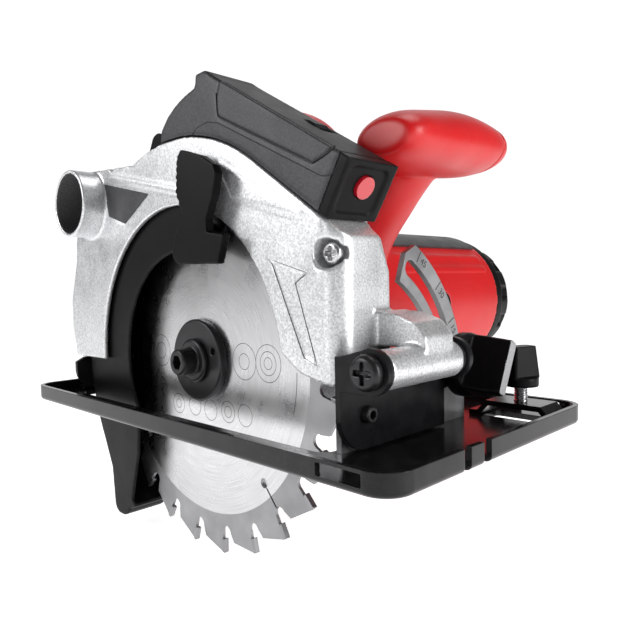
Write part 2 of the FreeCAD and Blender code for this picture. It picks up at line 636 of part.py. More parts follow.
def keyhole(angle):
    """A stress slot that runs from a gullet to a round hole."""
    half = 0.45
    eye = size("blade_diameter") / 2 - 25
    spread = math.degrees(half / eye)
    reach = size("blade_diameter") / 2 - size("tooth_gullet_depth") + 2
    side = polar(polar(AX, eye, angle), 2.2, angle + 168.5 - 180)
    other = polar(polar(AX, eye, angle), 2.2, angle + 11.5)
    bottom = polar(polar(AX, eye, angle), 2.2, angle + 180)
    return [side, polar(polar(AX, reach, angle), half, angle - 90),
            polar(polar(AX, reach, angle), half, angle + 90), other, ("arc", bottom, side)]


FIRST_TIP = -111.2
blade = doc.addObject("PartDesign::Body", "saw_blade")
pad(blade, "XZ", [blade_outline(), ("circle", *AX, size("blade_bore") / 2)], "Sizes.blade_thick",
    -size("blade_thick") / 2)
pocket(blade, "XZ", [keyhole(FIRST_TIP + 61.8 + 90 * k) for k in range(4)], "Sizes.blade_thick + 2", 3)
keep("saw_blade", blade)


def carbide_tips():
    half = size("kerf_thick") / 2
    tip = size("blade_diameter") / 2
    found = []
    for k in range(int(size("tooth_count"))):
        a = FIRST_TIP + k * 15
        loop = [polar(AX, tip - 0.35, a - 1.1), polar(AX, tip, a), polar(AX, tip - 6.5, a + 0.75),
                polar(AX, tip - 6.5, a - 0.45)]
        found.append(prism("XZ", loop, -half, half).cut(blade_local))
    return Part.makeCompound(found)


doc.recompute()
blade_local = blade.Shape
keep("carbide_tips", made("carbide_tips", carbide_tips()))

BLADE_HALF = size("blade_thick") / 2
FLANGE_R = size("flange_radius")
FLANGE_FACE = -BLADE_HALF - size("flange_thick")
BOLT_R = size("bolt_radius")
SPINDLE_R = size("spindle_radius")
flange = turned("outer_flange_disc", "Y", [
    (-BLADE_HALF, BOLT_R + 0.2), (FLANGE_FACE, BOLT_R + 0.2), (FLANGE_FACE, FLANGE_R - 0.8),
    (FLANGE_FACE + 0.8, FLANGE_R), (-BLADE_HALF, FLANGE_R), (-BLADE_HALF, 13), (-BLADE_HALF - 0.8, 13),
    (-BLADE_HALF - 0.8, 10.2), (-BLADE_HALF, 10.2)], ARBOR_AT)
keep("outer_flange", cut("outer_flange", flange, rod("flange_pin_hole", "Y", "1.7", "6",
     (*polar(AX, 14.6, 20)[:1], -6, polar(AX, 14.6, 20)[1]))))
keep("inner_flange", turned("inner_flange", "Y", [
     (BLADE_HALF, SPINDLE_R + 0.02), (BLADE_HALF, FLANGE_R), (4.4, FLANGE_R), (5, FLANGE_R - 0.8),
     (5, SPINDLE_R + 0.02)], ARBOR_AT))
spindle = turned("spindle_turned", "Y", [
    (-BLADE_HALF, BOLT_R), (-BLADE_HALF, 9.95), (BLADE_HALF, 9.95), (BLADE_HALF, SPINDLE_R),
    (16, SPINDLE_R), (16, 7), (29.5, 7), (29.5, 6), (38, 6), (38, 0), (14, 0), (14, BOLT_R)], ARBOR_AT)
keep("spindle_shaft", spindle)


def arbor_bolt():
    seat = FLANGE_FACE
    head = size("bolt_head_radius")
    body = turned("arbor_bolt", "Y", [
        (13.9, 0), (13.9, BOLT_R), (seat, BOLT_R), (seat, size("bolt_collar_radius")),
        (seat - 1.9, size("bolt_collar_radius")), (seat - 2.7, size("bolt_collar_radius") - 1),
        (seat - 2.7, head), (seat - 10, head), (seat - 10.7, head - 0.8), (seat - 10.7, 0)], ARBOR_AT)
    socket = [polar((0, 0), 3.5, 60 * i) for i in range(6)]
    pocket(body, "XZ", [socket], "6", -seat + 10.8)
    return body


keep("arbor_bolt", arbor_bolt())

CENTRES = math.hypot(MOTOR.x - ARBOR.x, MOTOR.z - ARBOR.z)
MODULE = 2 * CENTRES / (size("gear_teeth") + size("pinion_teeth"))
LINE = math.degrees(math.atan2(MOTOR.z - ARBOR.z, MOTOR.x - ARBOR.x))


def gear_loop(teeth, centre, first):
    """Involute teeth with a 25 degree pressure angle and short addendum, one at angle first."""
    press = math.radians(25)
    pitch_r = MODULE * teeth / 2
    base_r = pitch_r * math.cos(press)
    tip_r, root_r = pitch_r + 0.78 * MODULE, pitch_r - 1.05 * MODULE
    backlash = 0.07

    def half(radius):
        angle = math.acos(min(1, base_r / radius))
        spread = math.tan(press) - press - (math.tan(angle) - angle)
        return math.degrees(math.pi / (2 * teeth) - backlash / pitch_r + spread)

    low = max(base_r, root_r + 0.02)
    radii = [low + (tip_r - low) * i / 4 for i in range(5)]
    loop = []
    for k in range(teeth):
        a = first + 360 / teeth * k
        loop.append(polar(centre, root_r, a - half(low)))
        loop += [polar(centre, r, a - half(r)) for r in radii]
        loop += [polar(centre, r, a + half(r)) for r in reversed(radii)]
        loop.append(polar(centre, root_r, a + half(low)))
    return loop


gear = plate("driven_gear", "XZ", [gear_loop(int(size("gear_teeth")), AX,
             LINE + 180 / size("gear_teeth")), ("circle", *AX, 7)], "Sizes.gear_width",
             (0, GEAR_TO, 0))
keep("driven_gear", gear)


# ================================================================= armature
def armature_shaft():
    shaft = turned("armature_rod", "Y", [(17, 0), (17, 3.8), (30, 3.8), (30, 4), (158, 4), (158, 0)],
                   MOTOR_AT)
    pinion = plate("pinion", "XZ", [gear_loop(int(size("pinion_teeth")), (MOTOR.x, MOTOR.z),
                   LINE + 180)], "Sizes.gear_width", (0, GEAR_TO, 0))
    return fuse("armature_shaft", [shaft, pinion])


keep("armature_shaft", armature_shaft())
keep("armature_core", ring("armature_core", "Y", *STATOR, size("core_radius"), 4, MOTOR_AT))
keep("commutator", turned("commutator", "Y", [(119, 4), (119, 14), (122, 14), (122, 11),
     (138, 11), (138, 4)], MOTOR_AT))


def cooling_fan():
    hub = cyl("Y", 12, 42, 54, MOTOR)
    disc = cyl("Y", 33, 52, 54, MOTOR)
    blades = []
    for k in range(11):
        fin = box((10, 44, -0.8), (32, 52.5, 0.8))
        fin.rotate(Vector(0, 0, 0), Y, 360 / 11 * k)
        fin.translate(Vector(MOTOR.x, 0, MOTOR.z))
        blades.append(fin)
    return made("cooling_fan", hub.fuse([disc] + blades).cut(cyl("Y", 4, 40, 60, MOTOR)))


keep("cooling_fan", cooling_fan())


# ================================================================= lower guard
def sector(inner, outer, first, last):
    middle = (first + last) / 2
    return [polar(AX, inner, first), ("arc", polar(AX, inner, middle), polar(AX, inner, last)),
            polar(AX, outer, last), ("arc", polar(AX, outer, middle), polar(AX, outer, first))]


def lower_guard():
    outer, wall = size("shell_radius"), size("shell_wall")
    near, far = -11.6, 10.6
    first, last = 60, 236
    rim = prism("XZ", sector(outer - wall, outer, first, last), near, far)
    near_wall = prism("XZ", sector(size("shell_inner_radius"), outer, first, 214), near, near + wall)
    tail_wall = prism("XZ", [polar(AX, 52, 213), polar(AX, outer, 213), polar(AX, outer, last),
                             polar(AX, 88, 234), polar(AX, 70, 229)], near, near + wall)
    far_wall = prism("XZ", sector(34, outer, first, last), far - wall, far)
    hub = cyl("Y", 34.2, far - wall, far, ARBOR)
    heel = prism("XZ", [(-86, -18), (-76, -38), (-74.2, -56), ("arc", (-72.3, -61), (-67.5, -62.6)),
                        ("arc", (-61, -61.5), (-57, -57.5)), (-51, -55), (-60, -20)], near, far)
    heel = heel.cut(cyl("Y", outer - wall, near - 1, far + 1, ARBOR))
    web = prism("XZ", sector(52, 68, 60, 76), LEVER_BACK, near + wall)
    solid = rim.fuse([near_wall, tail_wall, far_wall, hub, heel, web])
    solid = solid.cut(cyl("Y", size("hub_radius") + 0.05, 0, 20, ARBOR))
    return made("lower_guard", solid.removeSplitter())


LEVER_BACK, LEVER_FRONT = -20, -24
keep("lower_guard", lower_guard())


def guard_lever():
    outline = [(21.4, 121.4), (35.5, 117), (44.4, 112), (46, 108.5), (43.4, 99.5), (38.6, 91),
               (38.9, 85.3), (50, 83.6), (45.4, 72), (20.6, 72.6), ("arc", (15, 74), (12.9, 78)),
               (15, 85), (21.6, 93.4), (16.8, 103.3), (18.2, 118)]
    solid = prism("XZ", outline, LEVER_FRONT, LEVER_BACK)
    return made("guard_lever", solid)


keep("guard_lever", guard_lever())
keep("guard_spring", made("guard_spring", Part.makeTorus(24, 0.6, ARBOR + Vector(0, 11.6, 0), Y)))


# ================================================================= handles
HAND_Y = size("handle_centre")
HAND_HALF = size("handle_half")


def smooth(points, plane_y):
    """A closed smooth curve through XZ points, as a face at plane_y."""
    curve = Part.BSplineCurve()
    curve.interpolate([Vector(x, plane_y, z) for x, z in points], PeriodicFlag=True)
    return Part.Face(Part.Wire([curve.toShape()]))


def inset(points, depth):
    """The same ring of points, each moved inwards by depth (outwards if it is negative)."""
    count = len(points)
    area = sum(points[i - 1][0] * points[i][1] - points[i][0] * points[i - 1][1] for i in range(count))
    turn = 1 if area > 0 else -1
    moved = []
    for i in range(count):
        before, after = points[i - 1], points[(i + 1) % count]
        dx, dz = after[0] - before[0], after[1] - before[1]
        long = math.hypot(dx, dz)
        moved.append((points[i][0] - turn * depth * dz / long, points[i][1] + turn * depth * dx / long))
    return moved


GRIP_OUTER = [(46, 84), (44, 112), (34, 138), (8, 155), (-30, 158), (-72, 156), (-108, 143),
              (-126, 116), (-121, 86), (-98, 60), (-60, 44), (-22, 40), (20, 60)]
GRIP_OPENING = [(20, 106), (8, 123), (-20, 127), (-60, 126), (-90, 116), (-99, 100), (-88, 82),
                (-62, 70), (-40, 76), (-22, 94), (0, 99)]


def front_grip_solid():
    """The crosswise front grip: elliptical sections along Y, on a neck that leans forwards."""
    def oval(cx, cz, half_x, half_z, y):
        ellipse = Part.Ellipse(Vector(cx, y, cz), max(half_x, half_z), min(half_x, half_z))
        turned_oval = ellipse.toShape()
        wire = Part.Wire([turned_oval])
        wire.rotate(Vector(cx, y, cz), X, 90)
        return wire

    # centre x and z, half width along X, half height, and place along Y
    sections = [(97.5, 119.5, 12, 6.5, 18.5), (95.5, 120.5, 17, 9.5, 25), (92, 121.5, 20, 12, 36),
                (88.5, 123.3, 22, 14, 54), (86, 126, 22, 14.6, 78), (85, 127, 20.5, 13.4, 95),
                (84.8, 127.8, 18.3, 12, 105)]
    body = Part.makeLoft([oval(*s) for s in sections], True, False)
    cap_sections = [sections[-1], (84.5, 128.2, 15.6, 10.2, 113), (84, 128.5, 11.4, 7.4, 121),
                    (83.8, 128.6, 7, 4.4, 127), (83.8, 128.6, 2.4, 1.5, 130.2)]
    cap = Part.makeLoft([oval(*s) for s in cap_sections], True, False)

    def level(cx, cy, half_x, half_y, z):
        ellipse = Part.Ellipse(Vector(cx, cy, z), max(half_x, half_y), min(half_x, half_y))
        wire = Part.Wire([ellipse.toShape()])
        if half_y > half_x:
            wire.rotate(Vector(cx, cy, z), Z, 90)
        return wire

    neck_levels = [(36, 56.5, 18, 20, 58), (48.5, 57, 15, 17, 74), (58.5, 57.5, 12.5, 14, 86),
                   (66.5, 58, 11.8, 13.3, 95), (72, 58.5, 11.8, 13.3, 102), (76, 59, 12.5, 14.5, 108),
                   (83, 60, 15, 19, 120)]
    neck = Part.makeLoft([level(*s) for s in neck_levels], True, False)
    return body.fuse(neck), cap


grip_body, grip_cap = front_grip_solid()
motor_skin = cyl("Y", MOTOR_R, 20, 150, MOTOR)
grip_body = grip_body.cut(motor_skin)
keep("front_grip", made("front_grip", grip_body))
keep("front_grip_cap", made("front_grip_cap", grip_cap))

LOCK_AT = Vector(-34, 0, 142)
LOCK_R = 5
GLAND_FOOT = Vector(-132, HAND_Y, 86)
GLAND_WAY = Vector(1, 0, 0.25)
GLAND_LONG = 24


def handle_shells():
    y_low, y_high = HAND_Y - HAND_HALF, HAND_Y + HAND_HALF
    outer = smooth(GRIP_OUTER, y_low).extrude(Y * (2 * HAND_HALF))
    soft = outer.makeFillet(8, [e for e in outer.Edges if e.Length > 200])
    opening = smooth(GRIP_OPENING, y_low - 1).extrude(Y * (2 * HAND_HALF + 2))
    room = 2 * (HAND_HALF - 4)
    hollow = smooth(inset(GRIP_OUTER, 4.5), y_low + 4).extrude(Y * room)
    hollow = hollow.cut(smooth(inset(GRIP_OPENING, -4), y_low + 4).extrude(Y * room))
    hollow = hollow.cut(cyl("Y", MOTOR_R + 4, 20, 90, MOTOR)).cut(box((25, 0, 0), (80, 100, 200)))
    whole = soft.cut(opening).cut(hollow).cut(motor_skin).cut(grip_body)
    whole = whole.cut(box((-16.3, HAND_Y - 8.3, 110), (16.3, HAND_Y + 8.3, 138)))
    whole = whole.cut(cyl("Y", LOCK_R + 0.3, y_low - 5, y_high + 5, LOCK_AT))
    whole = whole.cut(Part.makeCylinder(7.5, GLAND_LONG, GLAND_FOOT, GLAND_WAY))
    left = whole.common(box((-200, y_low - 5, 0), (100, HAND_Y, 250)))
    right = whole.common(box((-200, HAND_Y, 0), (100, y_high + 5, 250)))
    return left, right


def biggest(shape):
    return max(shape.Solids, key=lambda s: s.Volume)


left_shell, right_shell = handle_shells()
keep("handle_left_shell", made("handle_left_shell", biggest(left_shell)))
keep("handle_right_shell", made("handle_right_shell", biggest(right_shell)))


def trigger():
    side = prism("XZ", [(-15.6, 128), (-13, 118), ("arc", (-2, 120.5), (11, 113.5)), (15, 118),
                        (15.6, 137), (-15.6, 137)], HAND_Y - 8, HAND_Y + 8)
    return made("trigger", side)


keep("trigger", trigger())
keep("lock_off_button", turned("lock_off_button", "Y", [
     (HAND_Y - HAND_HALF - 3, 0), (HAND_Y - HAND_HALF - 3, LOCK_R - 1), (HAND_Y - HAND_HALF - 2, LOCK_R),
     (HAND_Y + HAND_HALF - 1, LOCK_R), (HAND_Y + HAND_HALF - 1, 0)], LOCK_AT))
keep("switch_module", made("switch_module", box((-22, HAND_Y - 9, 143.5), (9.5, HAND_Y + 9, 149.5))))
cord_gland = Part.makeCone(6.2, 7.4, GLAND_LONG, GLAND_FOOT, GLAND_WAY)
cord_gland = cord_gland.cut(Part.makeCylinder(3.6, 40, GLAND_FOOT - GLAND_WAY * 4, GLAND_WAY))
keep("cord_gland", made("cord_gland", cord_gland))


# ================================================================= laser unit
def laser_outline():
    radius = size("guard_radius") + 0.3
    toe = (LASER_TOE[0] + 0.2, LASER_TOE[1] + 0.4)
    return [polar(AX, radius, 95), (-8, 136), (-2, 141.5), ("arc", (8, 146.5), (20, 149.5)),
            (21, 155), (27.5, 155.4), (32.5, 152), (109.7, 105.5), toe, polar(AX, radius, LASER_TANGENT),
            ("arc", polar(AX, radius, 75), polar(AX, radius, 95))]


PANEL = [(36.4, 142), (36.6, 136), ("arc", (37.2, 134), (39.2, 132.6)), (91.7, 106.4), (98.2, 108.4)]
LENS_AT = Vector(104.6, -1, 97)
SLOPE = math.radians(size("laser_slope"))
FORWARD = Vector(math.cos(SLOPE), 0, -math.sin(SLOPE))
UPWARD = Vector(math.sin(SLOPE), 0, math.cos(SLOPE))


def laser_frame(along, up):
    """A point in the side plane of the laser unit, from its front face's lens centre."""
    spot = LENS_AT + FORWARD * along + UPWARD * up
    return (spot.x, spot.z)


def laser_unit():
    low, high = size("laser_face"), size("laser_back")
    shape = prism("XZ", laser_outline(), low, high)
    bezel_zone = prism("XZ", [laser_frame(-5, 30), laser_frame(20, 30), laser_frame(20, -30),
                              laser_frame(-5, -30)], low - 1, high + 1)
    bezel = shape.common(bezel_zone)
    body = shape.cut(bezel_zone)
    room = prism("XZ", [laser_frame(-70, 6.5), laser_frame(-8, 6.5), laser_frame(-8, -5.8),
                        laser_frame(-70, -5.8)], low + 2.6, high - 2.4)
    panel_top = [laser_frame(-7.5, 15), laser_frame(-83, 15)]
    panel = prism("XZ", PANEL + panel_top, low - 1, low + 1.4)
    body = body.cut(room).cut(panel)
    cover = prism("XZ", PANEL + panel_top, low - 0.25, low + 1.35).common(
        prism("XZ", laser_outline(), low - 1, high))
    centre = LENS_AT
    hole = Part.makeCylinder(size("laser_lens_radius"), 60, centre - FORWARD * 40, FORWARD)
    bezel = bezel.cut(hole)
    body = body.cut(Part.makeCylinder(5.6, 26, centre - FORWARD * 24, FORWARD))
    switch_room = prism("XZ", [laser_frame(-44, 15), laser_frame(-32, 15), laser_frame(-32, 7.4),
                               laser_frame(-44, 7.4)], 1, 9)
    return body.cut(switch_room), bezel, cover


laser_body, laser_bezel, laser_cover = laser_unit()
keep("laser_housing", made("laser_housing", biggest(laser_body)))
keep("laser_bezel", made("laser_bezel", biggest(laser_bezel)))
keep("laser_battery_cover", made("laser_battery_cover", biggest(laser_cover)))
LENS_R = size("laser_lens_radius")
keep("laser_lens", made("laser_lens", Part.makeCylinder(LENS_R - 0.02, 2.4, LENS_AT - FORWARD * 2.2,
     FORWARD)))
keep("laser_module", made("laser_module", Part.makeCylinder(LENS_R - 0.1, 19, LENS_AT - FORWARD * 23,
     FORWARD)))
cells = [Part.makeCylinder(5.0, 42, LENS_AT - FORWARD * 68 + Y * side, FORWARD) for side in (-5.6, 5.6)]
keep("laser_batteries", made("laser_batteries", Part.makeCompound(cells)))
keep("laser_switch", made("laser_switch", prism("XZ", [laser_frame(-43.6, 9.6), laser_frame(-41.4, 10.6),
     laser_frame(-38.4, 10.6), laser_frame(-36, 9.6), laser_frame(-36, 7.8), laser_frame(-43.6, 7.8)],
     1.4, 8.6)))


# ================================================================= depth lever and spindle lock
BOLT_X, BOLT_H = DEPTH_BOLT
keep("depth_bolt", turned("depth_bolt", "Y", [(11.2, 0), (11.2, 5.4), (12.5, 5.4), (12.5, 3), (31, 3),
     (31, 0)], (BOLT_X, 0, BOLT_H)))


def depth_lever():
    hub = cyl("Y", 8, 22, 29, Vector(BOLT_X, 0, BOLT_H))
    arm = prism("XZ", [(BOLT_X - 6, BOLT_H), (BOLT_X + 6, BOLT_H), (BOLT_X + 3, BOLT_H + 34),
                       ("arc", (BOLT_X - 2, BOLT_H + 38), (BOLT_X - 7, BOLT_H + 34))], 23, 28)
    return made("depth_lever", hub.fuse(arm).cut(cyl("Y", 3, 20, 32, Vector(BOLT_X, 0, BOLT_H)))
                .removeSplitter())


keep("depth_lever", depth_lever())
keep("spindle_lock_button", turned("spindle_lock_button", "X", [(-34.5, 0), (-34.5, 5), (-33.5, 6),
     (-30.5, 6), (-30.5, LOCK_PIN_R), (-25.9, LOCK_PIN_R), (-25.9, 0)], LOCK_PIN))

# ================================================================= checks and export
doc.recompute()
os.makedirs("parts", exist_ok=True)
for item in doc.Objects:
    bad = [flag for flag in item.State if flag in ("Invalid", "Error")]
    assert not bad, item.Label + " " + str(item.State)
for name, item in NODES.items():
    assert item.Label == name, item.Label
    assert not item.Shape.isNull() and item.Shape.isValid(), name
    assert item.Shape.Solids, name + " has no solid"
for name, item in NODES.items():
    item.Shape.exportStep("parts/" + name + ".step")
print(len(NODES), "nodes written")
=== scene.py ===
import json
import math

import bmesh
import bpy
from mathutils import Matrix, Vector


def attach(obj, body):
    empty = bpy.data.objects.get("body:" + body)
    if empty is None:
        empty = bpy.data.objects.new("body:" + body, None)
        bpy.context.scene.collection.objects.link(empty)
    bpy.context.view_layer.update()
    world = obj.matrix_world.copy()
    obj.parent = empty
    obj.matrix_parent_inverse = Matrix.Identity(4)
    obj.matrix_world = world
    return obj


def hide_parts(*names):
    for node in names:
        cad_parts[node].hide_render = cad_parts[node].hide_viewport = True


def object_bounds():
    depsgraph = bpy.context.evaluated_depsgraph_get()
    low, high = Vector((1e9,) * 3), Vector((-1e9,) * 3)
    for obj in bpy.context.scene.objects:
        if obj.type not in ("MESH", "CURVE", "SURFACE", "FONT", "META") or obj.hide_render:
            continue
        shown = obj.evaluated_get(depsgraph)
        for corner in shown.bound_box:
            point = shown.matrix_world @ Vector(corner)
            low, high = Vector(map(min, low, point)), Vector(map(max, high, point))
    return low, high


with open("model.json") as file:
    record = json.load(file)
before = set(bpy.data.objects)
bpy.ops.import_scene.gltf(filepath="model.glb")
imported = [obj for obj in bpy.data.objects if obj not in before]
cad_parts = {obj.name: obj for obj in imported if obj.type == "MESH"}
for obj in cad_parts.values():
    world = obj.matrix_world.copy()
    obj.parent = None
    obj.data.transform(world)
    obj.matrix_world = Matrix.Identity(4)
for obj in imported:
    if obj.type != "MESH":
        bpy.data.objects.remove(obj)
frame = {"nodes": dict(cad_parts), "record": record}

# A hand-held circular saw around its CAD frame.  Metres; +X is the cutting direction, +Y points from
# the blade to the motor, +Z is up, and the origin is on the sole below the arbor.

cad_box = [list(corner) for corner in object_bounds()]
MM = 0.001
NODES = frame["nodes"]
SUBPARTS = {row["node"]: row["material_slot"] for row in frame["record"]["subparts"]}
BODY_OF = {node: body for body, nodes in frame["record"]["behaviour"]["bodies"].items() for node in nodes}
ARBOR = (0.0, 27.5)          # x, z of the spindle's axis
MOTOR = (12.2, 50.3)         # x, z of the motor's axis
FACE = -15.0                 # y of the guard's outer face
NOISE_LOW = 0.3              # most noise stays between these two levels
NOISE_HIGH = 0.7


# ------------------------------------------------------------------ camera and light
SENSOR = 36                  # mm
FOCAL = 0.982672             # focal length as a share of the picture's width
TURN, DOWN, ROLL = 45.08, 2.84, -1.2
EYE = (0.24781, -0.17198, 0.06387)


def camera():
    """Looks at the blade's side from ahead, a little above the shoe."""
    data = bpy.data.cameras.new("camera")
    data.sensor_width = SENSOR
    data.lens = FOCAL * SENSOR
    data.clip_start = 0.01
    data.clip_end = 20
    turn, down, roll = math.radians(TURN), math.radians(DOWN), math.radians(ROLL)
    forward = Vector((-math.sin(turn) * math.cos(down), math.cos(turn) * math.cos(down), -math.sin(down)))
    right = Vector((math.cos(turn), math.sin(turn), 0))
    up = right.cross(forward)
    side = right * math.cos(roll) + up * math.sin(roll)
    top = up * math.cos(roll) - right * math.sin(roll)
    item = bpy.data.objects.new("camera", data)
    item.matrix_world = Matrix((side, top, -forward)).transposed().to_4x4()
    item.location = EYE
    bpy.context.scene.collection.objects.link(item)
    bpy.context.scene.camera = item


def softbox(name, place, aim, wide, high, watts):
    """An area light that faces a point."""
    data = bpy.data.lights.new(name, "AREA")
    data.shape = "RECTANGLE"
    data.size, data.size_y = wide, high
    data.energy = watts
    item = bpy.data.objects.new(name, data)
    item.location = place
    item.rotation_euler = (Vector(aim) - Vector(place)).to_track_quat("-Z", "Y").to_euler()
    bpy.context.scene.collection.objects.link(item)


ROOM_LIGHT = 0.13            # brightness of the room
WALL_LIGHT = 1.05            # brightness of the wall behind the saw
WALL_WAY = (-0.70, 0.71, 0.0)
WALL_EDGE = (0.68, 0.79)     # cosines between which the room turns into the wall
LIGHT_AIM = (0.02, 0.03, 0.05)
FLOOR_REACH = 6
FLOOR_GAP = 0.004            # room left under the saw's lowest point


def studio():
    """A bright wall behind the saw, a dim room round it, a floor and four soft boxes."""
    world = bpy.data.worlds.new("studio")
    world.use_nodes = True
    tree = world.node_tree
    sky = tree.nodes["Background"]
    sky.inputs["Color"].default_value = (1, 1, 1, 1)
    way = tree.nodes.new("ShaderNodeTexCoord")
    ahead = tree.nodes.new("ShaderNodeVectorMath")
    ahead.operation = "DOT_PRODUCT"
    ahead.inputs[1].default_value = WALL_WAY
    bright = tree.nodes.new("ShaderNodeMapRange")
    for key, value in (("From Min", WALL_EDGE[0]), ("From Max", WALL_EDGE[1]),
                       ("To Min", ROOM_LIGHT), ("To Max", WALL_LIGHT)):
        bright.inputs[key].default_value = value
    tree.links.new(way.outputs["Generated"], ahead.inputs[0])
    tree.links.new(ahead.outputs["Value"], bright.inputs["Value"])
    tree.links.new(bright.outputs["Result"], sky.inputs["Strength"])
    bpy.context.scene.world = world
    bpy.context.scene.view_settings.view_transform = "Standard"
    softbox("left_box", (-0.5, -0.7, 0.45), LIGHT_AIM, 0.4, 0.4, 3.8)
    softbox("front_box", (0.15, -0.8, 0.1), LIGHT_AIM, 0.12, 0.6, 0.7)
    softbox("top_box", (0.05, 0.25, 0.85), LIGHT_AIM, 0.5, 0.4, 1.6)
    softbox("right_box", (0.95, 0.3, 0.3), LIGHT_AIM, 0.25, 0.6, 5.5)
    mesh = bpy.data.meshes.new("studio_floor")
    corners = [(x * FLOOR_REACH, y * FLOOR_REACH, 0) for x, y in ((-1, -1), (1, -1), (1, 1), (-1, 1))]
    mesh.from_pydata(corners, [], [(0, 1, 2, 3)])
    floor = bpy.data.objects.new("studio_floor", mesh)
    floor.location.z = cad_box[0][2] - FLOOR_GAP
    bpy.context.scene.collection.objects.link(floor)
    floor.data.materials.append(plain_floor())


def plain_floor():
    """A nearly white floor that glows a little, so it meets the wall without a line."""
    made = bpy.data.materials.new("floor")
    made.use_nodes = True
    shader = made.node_tree.nodes["Principled BSDF"]
    shader.inputs["Base Color"].default_value = (0.9, 0.9, 0.9, 1)
    shader.inputs["Roughness"].default_value = 0.7
    shader.inputs["Emission Color"].default_value = (1, 1, 1, 1)
    shader.inputs["Emission Strength"].default_value = 0.8
    return made


# ------------------------------------------------------------------ materials
class Nodes:
    """A small helper that adds and joins shader nodes."""

    def __init__(self, name):
        self.material = bpy.data.materials.new(name)
        self.material.use_nodes = True
        self.tree = self.material.node_tree
        self.shader = self.tree.nodes["Principled BSDF"]
        self.place = self.add("ShaderNodeTexCoord").outputs["Object"]

    def add(self, kind, **values):
        node = self.tree.nodes.new(kind)
        for key, value in values.items():
            setattr(node, key, value)
        return node

    def join(self, source, target):
        self.tree.links.new(source, target)

    def noise(self, scale, detail=3.0, rough=0.55):
        node = self.add("ShaderNodeTexNoise")
        node.inputs["Scale"].default_value = scale
        node.inputs["Detail"].default_value = detail
        node.inputs["Roughness"].default_value = rough
        self.join(self.place, node.inputs["Vector"])
        return node.outputs["Fac"]

    def spread(self, source, low, high, out_low, out_high):
        """Stretches the values from low to high over another range."""
        node = self.add("ShaderNodeMapRange")
        for key, value in (("From Min", low), ("From Max", high), ("To Min", out_low), ("To Max", out_high)):
            node.inputs[key].default_value = value
        self.join(source, node.inputs["Value"])
        return node.outputs["Result"]

    def mix(self, factor, first, second, mode="MIX"):
        node = self.add("ShaderNodeMix", data_type="RGBA", blend_type=mode)
        for value, socket in ((factor, node.inputs[0]), (first, node.inputs[6]), (second, node.inputs[7])):
            if isinstance(value, (int, float)):
                socket.default_value = value
            elif isinstance(value, tuple):
                socket.default_value = (*value, 1)
            else:
                self.join(value, socket)
        return node.outputs[2]

    def maths(self, operation, first, second):
        node = self.add("ShaderNodeMath", operation=operation)
        for value, socket in ((first, node.inputs[0]), (second, node.inputs[1])):
            if isinstance(value, (int, float)):
                socket.default_value = value
            else:
                self.join(value, socket)
        return node.outputs["Value"]


BUMP_HEIGHT = 0.0001


def surface(name, colour, rough, metal=0.0, tone=0.08, grain=900, bump=0.15, worn=0.0, worn_colour=None,
            coat=0.0, speck=0.0, rough_spread=0.08, bevel=0.5, spec=0.5):
    """Grain, colour drift, roughness drift and worn edges over one base colour."""
    k = Nodes(name)
    shader = k.shader
    shader.inputs["Metallic"].default_value = metal
    shader.inputs["Coat Weight"].default_value = coat
    shader.inputs["Coat Roughness"].default_value = 0.12
    shader.inputs["Specular IOR Level"].default_value = spec
    fine = k.noise(grain, 3)
    broad = k.noise(28, 4)
    dark = tuple(c * (1 - tone) for c in colour)
    light = tuple(min(1, c * (1 + tone)) for c in colour)
    tint = k.mix(k.spread(broad, NOISE_LOW, NOISE_HIGH, 0, 1), dark, light)
    if speck:
        spots = k.spread(fine, 0.35, 0.65, 1 - speck, 1 + speck)
        grey = k.add("ShaderNodeCombineColor")
        for socket in grey.inputs[:3]:
            k.join(spots, socket)
        tint = k.mix(1.0, tint, grey.outputs[0], "MULTIPLY")
    if worn:
        edge = k.add("ShaderNodeNewGeometry").outputs["Pointiness"]
        patchy = k.spread(k.noise(160, 4), 0.4, 0.6, 0.2, 1)
        chips = k.maths("MULTIPLY", k.spread(edge, 0.515, 0.56, 0, worn), patchy)
        tint = k.mix(chips, tint, worn_colour or tuple(min(1, c * 1.8 + 0.05) for c in colour))
    k.join(tint, shader.inputs["Base Color"])
    marks = k.spread(k.noise(70, 5, 0.6), NOISE_LOW, NOISE_HIGH, rough - rough_spread, rough + rough_spread)
    k.join(marks, shader.inputs["Roughness"])
    height = k.add("ShaderNodeBump")
    height.inputs["Strength"].default_value = bump
    height.inputs["Distance"].default_value = BUMP_HEIGHT
    k.join(fine, height.inputs["Height"])
    if bevel:
        soft = k.add("ShaderNodeBevel", samples=4)
        soft.inputs["Radius"].default_value = bevel * MM
        k.join(soft.outputs["Normal"], height.inputs["Normal"])
    k.join(height.outputs["Normal"], shader.inputs["Normal"])
    return k.material


# Prints on the blade's near face: x, z and radius of each ring, and widths as half a line, all in mm.
PRINTED_RINGS = [(-37, 29.7, 8.2), (32.1, 28.9, 8.2), (48.5, 29.3, 8.2), (-22, 3.4, 5), (-7.6, 4.2, 5),
                 (5.5, 3.5, 5), (19.2, 4.4, 5), (31.8, 4.4, 5), (-37, 29.7, 4.2), (32.1, 28.9, 3.6),
                 (48.5, 29.3, 5.2), (48.5, 29.3, 2.6), (-22, 3.4, 2.2), (19.2, 4.4, 2.6)]
RING_HALF = 0.16
BLADE_RIM = 74               # radius where the matt rim starts
BRUSH_LINES = 2600.0         # noise units along a metre of radius
BRUSH_TURNS = 3.0            # noise units along a radian
TURN_ARROW = 58.3            # radius of the arrow that shows which way the blade turns
ARROW_HALF = 0.3
ARROW_SIDE = -54.2           # the arrow lies behind this x
ARROW_HEAD = (-55.2, 11.0, 1.3)
SLIT_RADIUS = 66.4
SLIT_HALF = 0.22
